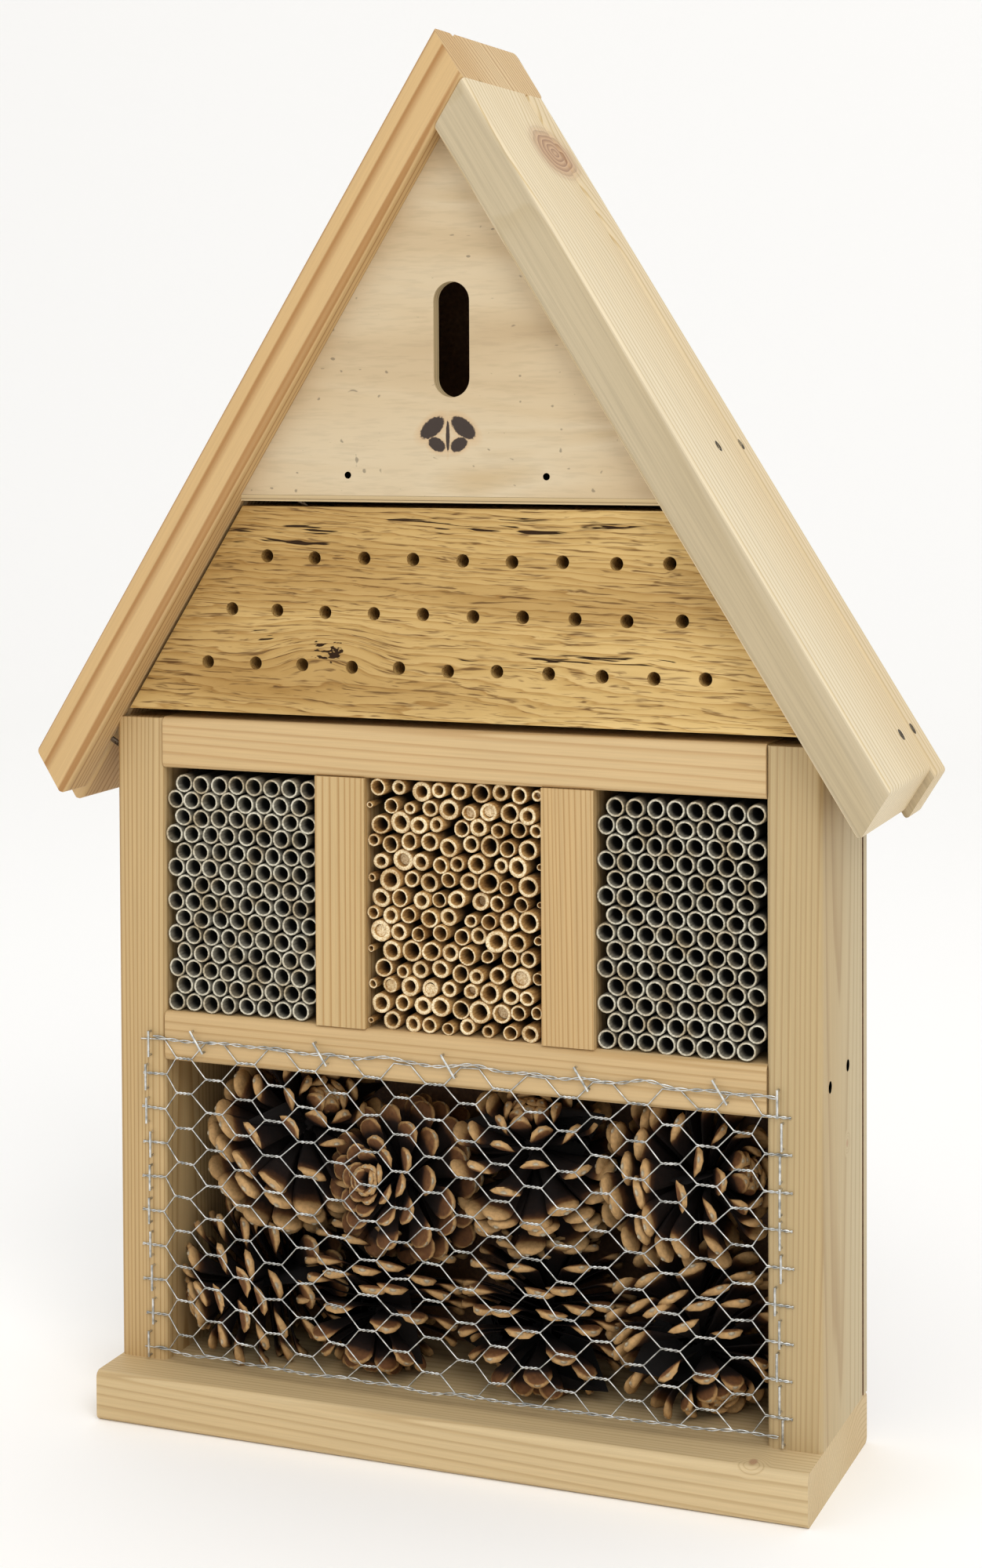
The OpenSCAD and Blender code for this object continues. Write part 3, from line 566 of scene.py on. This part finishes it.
def hollow_finish(name, wall, wall_dark, rim, rim_dark, grit, roughness, dusk_depth):
    """Finish of a stem: one tone range on walls, another on the cut rim. grit is the fibre size and
    dusk_depth the depth at which a wall has gone dark, in mm."""
    material, tree, shader = new_material(name, roughness)
    place = add(tree, "TexCoord").outputs["Object"]
    along = add(tree, "Mapping", {"Vector": place, "Scale": (1, 6, 1)}, **PATTERN).outputs[0]
    fibre = add(tree, "TexNoise", {"Vector": along, "Scale": 1 / (grit * MM), "Detail": 3}).outputs[0]
    walls = add(tree, "ValToRGB", {"Fac": fibre}, stops=[(0.32, wall_dark), (0.66, wall)]).outputs[0]
    rims = add(tree, "ValToRGB", {"Fac": fibre}, stops=[(0.34, rim_dark), (0.6, rim)]).outputs[0]
    # stems differ from one another over the width of a few of them
    tint = add(tree, "Mapping", {"Vector": place, "Scale": (1, 0, 1)}).outputs[0]
    tint = add(tree, "TexNoise", {"Vector": tint, "Scale": 130, "Detail": 0}).outputs[0]
    tint = add(tree, "ValToRGB", {"Fac": tint}, stops=[(0.3, "#d9cdbb"), (0.6, "#ffffff")]).outputs[0]
    normal = add(tree, "SeparateXYZ", {0: add(tree, "NewGeometry").outputs["Normal"]}).outputs["Y"]
    facing = add(tree, "MapRange", {"Value": normal, "From Min": -0.45, "From Max": -0.8}).outputs[0]
    # little light gets between the stems or into them, so the walls go dark near the mouth
    depth = add(tree, "SeparateXYZ", {0: place}).outputs["Y"]
    dusk = add(tree, "MapRange", {"Value": depth, "From Min": front_y + 3 * MM,
                                  "From Max": front_y + dusk_depth * MM, "To Min": 1, "To Max": 0.06},
               interpolation_type="SMOOTHSTEP").outputs[0]
    walls = add(tree, "Mix", {0: 1.0, 6: walls, 7: dusk}, **MULTIPLY).outputs[2]
    colour = add(tree, "Mix", {0: facing, 6: walls, 7: rims}, **BLEND).outputs[2]
    colour = add(tree, "Mix", {0: 1.0, 6: colour, 7: tint}, **MULTIPLY).outputs[2]
    tree.links.new(colour, shader.inputs["Base Color"])
    relief = add(tree, "Bump", {"Height": fibre, "Strength": 0.5, "Distance": 0.12 * MM}).outputs[0]
    tree.links.new(relief, shader.inputs["Normal"])
    return material


PAPER_BORE = 0.755
PAPER_DEPTH = 34 * MM
PAPER_OVAL = 0.10
PAPER_FRAY = 0.25 * MM
paper = hollow_finish("rolled grey paper", "#8d8777", "#676255", "#d9d2bd", "#aaa38e", 0.9, 0.8, 8)
reed = hollow_finish("dry reed", "#cfa768", "#99713f", "#f5e4be", "#cba974", 0.6, 0.7, 13)

for side, seed in (("left", 100), ("right", 400)):
    bm = bmesh.new()
    places = islands("paper_tubes_" + side)
    for i, (low, high) in enumerate(places):
        stem(bm, low, high, PAPER_BORE, PAPER_DEPTH, seed + i, PAPER_OVAL, PAPER_FRAY)
    finish_piece("rolled_tubes_" + side, bm, paper, ["paper_tubes_" + side])

# %% [markdown]
# ## Reed stems
# Reeds are pushed in until they jam, so each one is widened by up to half, until only TOUCH mm are
# left to a neighbour or the cell. Their bores vary at random. A few are still plugged with pale
# pith, which is a small domed disc a little way in.

# %% Reeds
PLUGGED = 0.08
GROW = 1.5
TOUCH = 0.03
REED_BORE = (0.56, 0.78)
REED_DEPTH = 36 * MM
REED_OVAL = 0.1
REED_FRAY = 0.9 * MM
REED_SIDES = 16
PLUG_DEPTH = (1.5, 5)


def jammed(places, draw):
    """The same stems, each widened in turn as far as its neighbours and the cell's walls let it."""
    left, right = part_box("mullion_left")[1].x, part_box("mullion_right")[0].x
    bottom, top = rail_high.z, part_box("top_rail")[0].z
    discs = [[(low.x + high.x) / 2, (low.z + high.z) / 2, (high.x - low.x) / 2] for low, high in places]
    order = list(range(len(discs)))
    draw.shuffle(order)
    for i in order:
        x, z, radius = discs[i]
        free = min(math.hypot(x - a, z - c) - r for k, (a, c, r) in enumerate(discs) if k != i)
        free = min(free, x - left, right - x, z - bottom, top - z) - TOUCH * MM
        discs[i][2] = max(radius, min(GROW * radius, free))
    return [(Vector((x - r, low.y, z - r)), Vector((x + r, high.y, z + r)))
            for (x, z, r), (low, high) in zip(discs, places)]


bm = bmesh.new()
draw = random.Random(7)
plugs = 0
for i, (low, high) in enumerate(jammed(islands("reed_stems"), draw)):
    middle, hole = stem(bm, low, high, draw.uniform(*REED_BORE), REED_DEPTH, 900 + i, REED_OVAL, REED_FRAY,
                        REED_SIDES)
    if draw.random() < PLUGGED:
        plugs += 1
        place = Matrix.Translation((middle.x, low.y + draw.uniform(*PLUG_DEPTH) * MM, middle.z))
        disc = bmesh.ops.create_circle(bm, segments=12, radius=hole * 0.98, cap_ends=True,
                                       matrix=place @ Matrix.Rotation(math.radians(90), 4, "X"))["verts"]
        faces = list({face for vert in disc for face in vert.link_faces})
        bmesh.ops.inset_region(bm, faces=faces, thickness=hole * 0.4, depth=hole * 0.25)
finish_piece("torn_reeds", bm, reed, ["reed_stems"])
print(plugs, "reeds are plugged with pith")

# %% [markdown]
# ## Pine cones
# A cone is one woody scale repeated along a spiral. Each scale sits 137.5 degrees further round than
# the last, which is how the plant packs them. The scale is a ring of eight corners extruded from its
# root to its thick tip, where a small boss, the umbo, sits in a pale field. Scales at the stem end
# are small and lie back tight, those at the middle stand out, and those at the tip lean forward.

# %% One scale of a cone
FLAT = 0.45
SHADED = 0.55
SCALE_RINGS = [  # distance from the root, width, thickness, rise, all in mm, and how woody it looks
    (0.0, 2.6, 1.0, 0.0, 0.0),
    (9.0, 5.0, 1.0, 0.4, 0.0),
    (17.0, 8.8, 1.2, 0.5, 0.1),
    (20.8, 10.6, 1.9, 0.3, 0.4),
    (23.2, 11.2, 3.4, -0.3, 0.9),
    (25.1, 9.8, 4.6, -0.9, 1.0),
    (26.4, 6.4, 3.9, -1.3, 1.0),
    (27.0, 3.0, 2.1, -1.4, 1.15),
    (26.8, 2.0, 1.4, -1.4, 1.45),
    (27.3, 1.1, 0.9, -1.4, 1.6),
]


def build_scale():
    bm = bmesh.new()
    layer = bm.verts.layers.float.new("ripe")
    stand = Matrix.Rotation(math.radians(90), 4, "Y")
    ring = bmesh.ops.create_circle(bm, segments=8, radius=0.5, cap_ends=True, matrix=stand)["verts"]
    edges = list(bm.edges)
    last = (0.0, 1.0, 1.0, 0.0)
    for place, wide, thick, rise, ripe in SCALE_RINGS:
        if place > 0:
            made = bmesh.ops.extrude_edge_only(bm, edges=edges)["geom"]
            ring = [g for g in made if isinstance(g, bmesh.types.BMVert)]
            edges = [g for g in made if isinstance(g, bmesh.types.BMEdge)]
        bmesh.ops.translate(bm, vec=(place - last[0], 0, -last[3]), verts=ring)
        for vert in ring:
            vert.co.z /= FLAT if vert.co.z > 0 and place > 0 else 1
        bmesh.ops.scale(bm, vec=(1, wide / last[1], thick / last[2]), verts=ring)
        bmesh.ops.translate(bm, vec=(0, 0, rise), verts=ring)
        last = (place, wide, thick, rise)
        for vert in ring:
            above = vert.co.z - rise
            # the face towards the cone's tip is flatter, and was hidden while the cone was closed
            vert.co.z = rise + above * (FLAT if above > 0 else 1)
            vert[layer] = ripe * (SHADED if above > 0.3 * thick else 1)
    bmesh.ops.edgeloop_fill(bm, edges=edges)
    bmesh.ops.recalc_face_normals(bm, faces=bm.faces)
    mesh = bpy.data.meshes.new("cone_scale")
    bm.to_mesh(mesh)
    bm.free()
    return mesh


scale_mesh = build_scale()
print("one scale has", len(scale_mesh.polygons), "faces")

# %% [markdown]
# Cone scales are tan where the weather reached them while the cone was closed, with a grey resinous
# boss, and dark purple-brown inside. Towards the roots the tone goes almost black, darker than the wood
# itself, and that part is painted shade deep between the scales. The attribute "ripe" was painted along
# the scale as it was extruded, and it picks the tone, with some noise so that the border is not a clean
# line.

# %% Cone finish


def cone_finish():
    material, tree, shader = new_material("weathered pine cone", 0.75)
    shader.inputs["Specular IOR Level"].default_value = 0.25
    place = add(tree, "TexCoord").outputs["Object"]
    ripe = add(tree, "Attribute", attribute_name="ripe").outputs["Fac"]
    blotch = add(tree, "TexNoise", {"Vector": place, "Scale": 260, "Detail": 3}).outputs[0]
    ripe = add(tree, "Math", {0: blotch, 1: 0.3, 2: ripe}, operation="MULTIPLY_ADD").outputs[0]
    # the attribute runs up to 1.9, and a ramp only to 1
    ripe = add(tree, "Math", {0: ripe, 1: 0.5}, operation="MULTIPLY").outputs[0]
    # the two darkest stops are painted shade inside the cone, darker than the scales' own purple-brown
    colour = add(tree, "ValToRGB", {"Fac": ripe},
                 stops=[(0.08, "#120b08"), (0.2, "#24150e"), (0.36, "#6b4526"), (0.48, "#a98252"),
                        (0.62, "#c09a68"), (0.74, "#93826a"), (0.88, "#b9ad94")]).outputs[0]
    streak = add(tree, "TexNoise", {"Vector": place, "Scale": 700, "Detail": 3}).outputs[0]
    streak = add(tree, "ValToRGB", {"Fac": streak}, stops=[(0.3, 0.55), (0.6, 1.0)]).outputs[0]
    colour = add(tree, "Mix", {0: 0.6, 6: colour, 7: streak}, **MULTIPLY).outputs[2]
    tree.links.new(colour, shader.inputs["Base Color"])
    relief = add(tree, "Bump", {"Height": blotch, "Strength": 0.6, "Distance": 0.4 * MM}).outputs[0]
    tree.links.new(relief, shader.inputs["Normal"])
    return material


cone_material = cone_finish()

# %% [markdown]
# A cone lies where its plain solid is in the frame. The table gives the way that each tip points, its
# size and a small shift, so that neighbours mesh as real ones do. The cones press the netting out, so
# the shape of its bulge is needed here already.

# %% Cones
WIRE = 0.55
BULGE = 4.0
SCALE_PUSH = 1.0


def bulge(x, z):
    """How far the netting stands in front of the side boards, in mm."""
    u = min(1, abs(x) / (post_in / MM))
    v = min(1, max(0, (z * MM - floor_z) / (rail_low.z - floor_z)))
    return WIRE / 2 + 0.15 + BULGE * (1 - u ** 4) * (1 - v ** 4)


GOLDEN = math.radians(137.508)
SCALES = 112
CONES = [  # direction of the tip, size, shift in mm, seed
    ((-0.80, -0.45, -0.30), 1.10, (3, -3, 1), 1),
    ((0.10, 0.30, 1.0), 1.07, (-9, -4, -1), 2),
    ((0.05, 0.25, 1.0), 1.07, (-4, -4, -1), 3),
    ((-0.50, 0.50, 0.75), 1.08, (-4, -4, 0), 4),
    ((-0.60, 0.35, -0.70), 1.14, (16, -3, 2), 5),
    ((-0.30, -0.90, 0.20), 1.02, (4, -2, -10), 6),
    ((0.00, 0.45, -0.90), 1.08, (-6, -3, 2), 7),
    ((-0.90, 0.25, -0.20), 1.08, (-6, -3, 2), 8),
]
WALL_GAP = 0.4


def smooth(t):
    t = min(1, max(0, t))
    return t * t * (3 - 2 * t)


def build_cone(name, tip, size, shift, seed):
    draw = random.Random(seed)
    low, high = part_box(name)
    middle = (low + high) / 2 + Vector(shift) * MM
    bm = bmesh.new()
    spindle = bmesh.ops.create_cone(bm, segments=10, radius1=4.5, radius2=2, depth=44,
                                    cap_ends=True)["verts"]
    bmesh.ops.translate(bm, vec=(0, 0, -1), verts=spindle)
    total = len(bm.verts)
    for i in range(SCALES):
        u = (i + 0.5) / SCALES
        opening = 172 - 92 * smooth(u / 0.45) - 72 * smooth((u - 0.5) / 0.5)
        grown = 0.30 + 0.72 * smooth(u / 0.36) - 0.60 * smooth((u - 0.6) / 0.4)
        height = -17 + 38 * u
        root = 3.2 - 2.4 * smooth((u - 0.7) / 0.3)
        # the shields at the stem end are as thick as they are wide, so they close like tiles
        thick = (0.5 + 0.5 * grown) * (1 + 1.1 * (1 - smooth(u / 0.24)))
        bm.from_mesh(scale_mesh)
        bm.verts.ensure_lookup_table()
        verts = bm.verts[total:]
        total = len(bm.verts)
        wobble = Euler([math.radians(draw.uniform(-6, 6)) for axis in range(3)]).to_matrix().to_4x4()
        turn = Matrix.Rotation(i * GOLDEN, 4, "Z")
        tilt = Matrix.Rotation(math.radians(opening - 90), 4, "Y")
        place = turn @ Matrix.Translation((root, 0, height)) @ tilt @ wobble @ Matrix.Diagonal(
            (grown, 0.35 + 0.65 * grown, thick, 1))
        bmesh.ops.transform(bm, matrix=place, verts=verts)
    aim = Vector(tip).normalized().to_track_quat("Z", "Y").to_matrix().to_4x4()
    stand = Matrix.Translation(middle) @ aim @ Matrix.Scale(size * MM, 4)
    bmesh.ops.transform(bm, matrix=stand, verts=bm.verts)
    # the wood, the panel and the netting press back scales that would reach through them
    gap = WALL_GAP * MM
    for vert in bm.verts:
        co = vert.co
        co.x = max(-post_in + gap, min(post_in - gap, co.x))
        co.z = max(floor_z + gap, min(rail_low.z - gap, co.z))
        co.y = max(front_y - (bulge(co.x / MM, co.z / MM) - SCALE_PUSH) * MM, min(back_y - gap, co.y))
    finish_piece(name + "_open", bm, cone_material, [name])


for number, (tip, size, shift, seed) in enumerate(CONES, 1):
    build_cone("pine_cone_" + str(number), tip, size, shift, seed)

# %% [markdown]
# ## Twisted wire netting
# Hexagonal netting is made of wires that run side by side. Each wire is twisted with one neighbour,
# then crosses over and is twisted with the other. The path below goes round its partner in the
# twists and straight in between. A slow noise field moves both wires of a pair together, because
# netting cut by hand is never even. The wires bulge out over the cones and lie flat on the posts.
# They are drawn thinner than the frame's wires, but the rows keep the frame's spacing.

# %% Netting
CAD_WIRE = 0.70
ROWS = 18
TWIST = 7.2
MESH_X = 13.1
TURNS = 2
UNEVEN = 1.5
PATCH = 0.045
TAIL = 1.5
net_low, net_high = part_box("wire_netting")
net_half = net_high.x / MM
cad_gap = CAD_WIRE / 2 + 0.03
pair_gap = WIRE / 2 + 0.02
row_h = ((net_high.z - net_low.z) / MM + 2 * cad_gap - CAD_WIRE) / ROWS
first_z = net_low.z / MM + CAD_WIRE / 2 - cad_gap + row_h / 2
columns = round(2 * net_half / MESH_X)
column_w = 2 * net_half / columns


def uneven(x, z):
    """Shift of the netting at x, z, the same for both wires of a twist."""
    point = Vector((x * PATCH, z * PATCH, 3))
    far = min(1, (net_half - abs(x)) / 15)
    return UNEVEN * noise.noise(point), UNEVEN * far * noise.noise(point + Vector((9, 4, 0)))


def net_point(x, z, up=0.0, out=0.0):
    dx, dz = uneven(x, z)
    return at(x + dx, -bulge(x, z) - out, z + dz + up)


def wire_path(i):
    """Points of wire i, from the left post to the right one."""
    middle = first_z + i * row_h
    points = []
    for c in range(columns + 1):
        up = 1 if (i + 1 + c) % 2 == 0 else -1
        partner = i + up
        z = middle + up * row_h / 2
        x = -net_half + c * column_w
        tail = TAIL if c in (0, columns) else 0
        steps = 10 * TURNS
        for k in range(steps + 1):
            t = k / steps
            angle = 2 * math.pi * TURNS * t
            reach = pair_gap if 0 <= partner < ROWS else 0
            along = x + (t - 0.5) * (TWIST + 2 * tail)
            points.append(net_point(along, z, -up * reach * math.cos(angle), reach * math.sin(angle) * up))
    return points


def wire_piece(name, paths, replaced):
    """A piece of round wires that follow paths of points in metres."""
    curve = bpy.data.curves.new(name, "CURVE")
    curve.dimensions = "3D"
    curve.bevel_depth = WIRE * MM / 2
    curve.bevel_resolution = 1
    curve.use_fill_caps = True
    for path in paths:
        spline = curve.splines.new("POLY")
        spline.points.add(len(path) - 1)
        for point, place in zip(spline.points, path):
            point.co = (*place, 1)
    source = bpy.data.objects.new(name + "_curve", curve)
    bpy.context.scene.collection.objects.link(source)
    bpy.context.view_layer.update()
    shaped = source.evaluated_get(bpy.context.evaluated_depsgraph_get())
    mesh = bpy.data.meshes.new_from_object(shaped)
    bpy.data.objects.remove(source)
    bm = bmesh.new()
    bm.from_mesh(mesh)
    finish_piece(name, bm, galvanised, replaced)


wire_piece("hexagonal_netting", [wire_path(i) for i in range(ROWS)], ["wire_netting"])

# %% [markdown]
# The netting's edges are finished with two more wires twisted slowly round each other, the selvedge.
# The top one wanders over the middle rail, and the bottom one sags towards the base board.

# %% Selvedges
LAY = 11
STEPS = 240
IN_FRONT = 0.6


def selvedge_path(z, side, wave, seed):
    """One of two wires that turn once in LAY mm round a line at z, which wanders by up to wave mm."""
    points = []
    for k in range(STEPS + 1):
        x = -net_half + 2 * net_half * k / STEPS
        angle = 2 * math.pi * x / LAY + side * math.pi
        drift = wave * noise.noise(Vector((x * 0.06, seed, 0)))
        y = -bulge(x, z) - IN_FRONT + 0.4 * math.sin(angle)
        points.append(at(x, y, z + drift + 0.42 * math.cos(angle)))
    return points


top_z = (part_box("selvedge_top")[0].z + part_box("selvedge_top")[1].z) / 2 / MM
bottom_z = (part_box("selvedge_bottom")[0].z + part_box("selvedge_bottom")[1].z) / 2 / MM
top_pair = [selvedge_path(top_z, side, 2.4, 5) for side in (0, 1)]
bottom_pair = [selvedge_path(bottom_z + 0.6, side, 1.2, 12) for side in (0, 1)]
wire_piece("selvedge_top_twisted", top_pair, ["selvedge_top"])
wire_piece("selvedge_bottom_twisted", bottom_pair, ["selvedge_bottom"])

# %% [markdown]
# ## Stage, light and camera
# The floor is a pale sheet that curves up behind the house, so there is no horizon. A large soft
# light stands to the right and above, a weaker one to the left, and an even white sky fills the rest.

# %% Floor


def pale_sweep():
    material, tree, shader = new_material("pale matt sheet", 0.9)
    shader.inputs["Base Color"].default_value = linear("#fcfbf9")
    bm = bmesh.new()
    verts = bmesh.ops.create_grid(bm, x_segments=1, y_segments=1, size=4)["verts"]
    back = [edge for edge in bm.edges if all(vert.co.y > 0 for vert in edge.verts)]
    bmesh.ops.translate(bm, vec=(0, -1.0, 0), verts=verts)
    made = bmesh.ops.extrude_edge_only(bm, edges=back)["geom"]
    bmesh.ops.translate(bm, vec=(0, 0, 5), verts=[g for g in made if isinstance(g, bmesh.types.BMVert)])
    bmesh.ops.bevel(bm, geom=back, offset=1.2, offset_type="OFFSET", segments=16, profile=0.5,
                    affect="EDGES", material=-1)
    bmesh.ops.recalc_face_normals(bm, faces=bm.faces)
    mesh = bpy.data.meshes.new("pale_sweep")
    bm.to_mesh(mesh)
    bm.free()
    mesh.materials.append(material)
    mesh.polygons.foreach_set("use_smooth", [True] * len(mesh.polygons))
    sweep = bpy.data.objects.new("pale_sweep", mesh)
    bpy.context.scene.collection.objects.link(sweep)


pale_sweep()

# %% Lights and world
MIDDLE = Vector((0, 0, 0.25))


def soft_light(name, place, size, watts):
    """A round area light, size metres wide, that looks at the middle of the house."""
    data = bpy.data.lights.new(name, "AREA")
    data.shape = "DISK"
    data.size = size
    data.energy = watts
    lamp = bpy.data.objects.new(name, data)
    bpy.context.scene.collection.objects.link(lamp)
    lamp.location = place
    lamp.rotation_euler = (MIDDLE - Vector(place)).to_track_quat("-Z", "Y").to_euler()


soft_light("key", (1.1, -1.5, 1.9), 1.4, 21)
soft_light("fill", (-1.6, -1.7, 0.9), 1.6, 4)
world = bpy.data.worlds.new("white studio")
bpy.context.scene.world = world
world.use_nodes = True
world.node_tree.nodes["Background"].inputs["Color"].default_value = linear("#ffffff")
world.node_tree.nodes["Background"].inputs["Strength"].default_value = 0.9
bpy.context.scene.view_settings.view_transform = "Standard"

# %% Camera
STAND = (0.3767, -0.9336, 0.3912)
YAW, TIP, ROLL = 21.63, -1.71, -0.26
LENS = 62.03
camera_data = bpy.data.cameras.new("camera")
camera_data.sensor_width = 36
camera_data.lens = LENS
camera_data.shift_y = -0.2
camera_data.clip_end = 50
camera = bpy.data.objects.new("camera", camera_data)
bpy.context.scene.collection.objects.link(camera)
camera.matrix_world = (Matrix.Translation(STAND)
                       @ Matrix.Rotation(math.radians(YAW), 4, "Z")
                       @ Matrix.Rotation(math.radians(90 + TIP), 4, "X")
                       @ Matrix.Rotation(math.radians(ROLL), 4, "Z"))
bpy.context.scene.camera = camera
print("camera", round(camera.location.length, 3), "m from the origin")
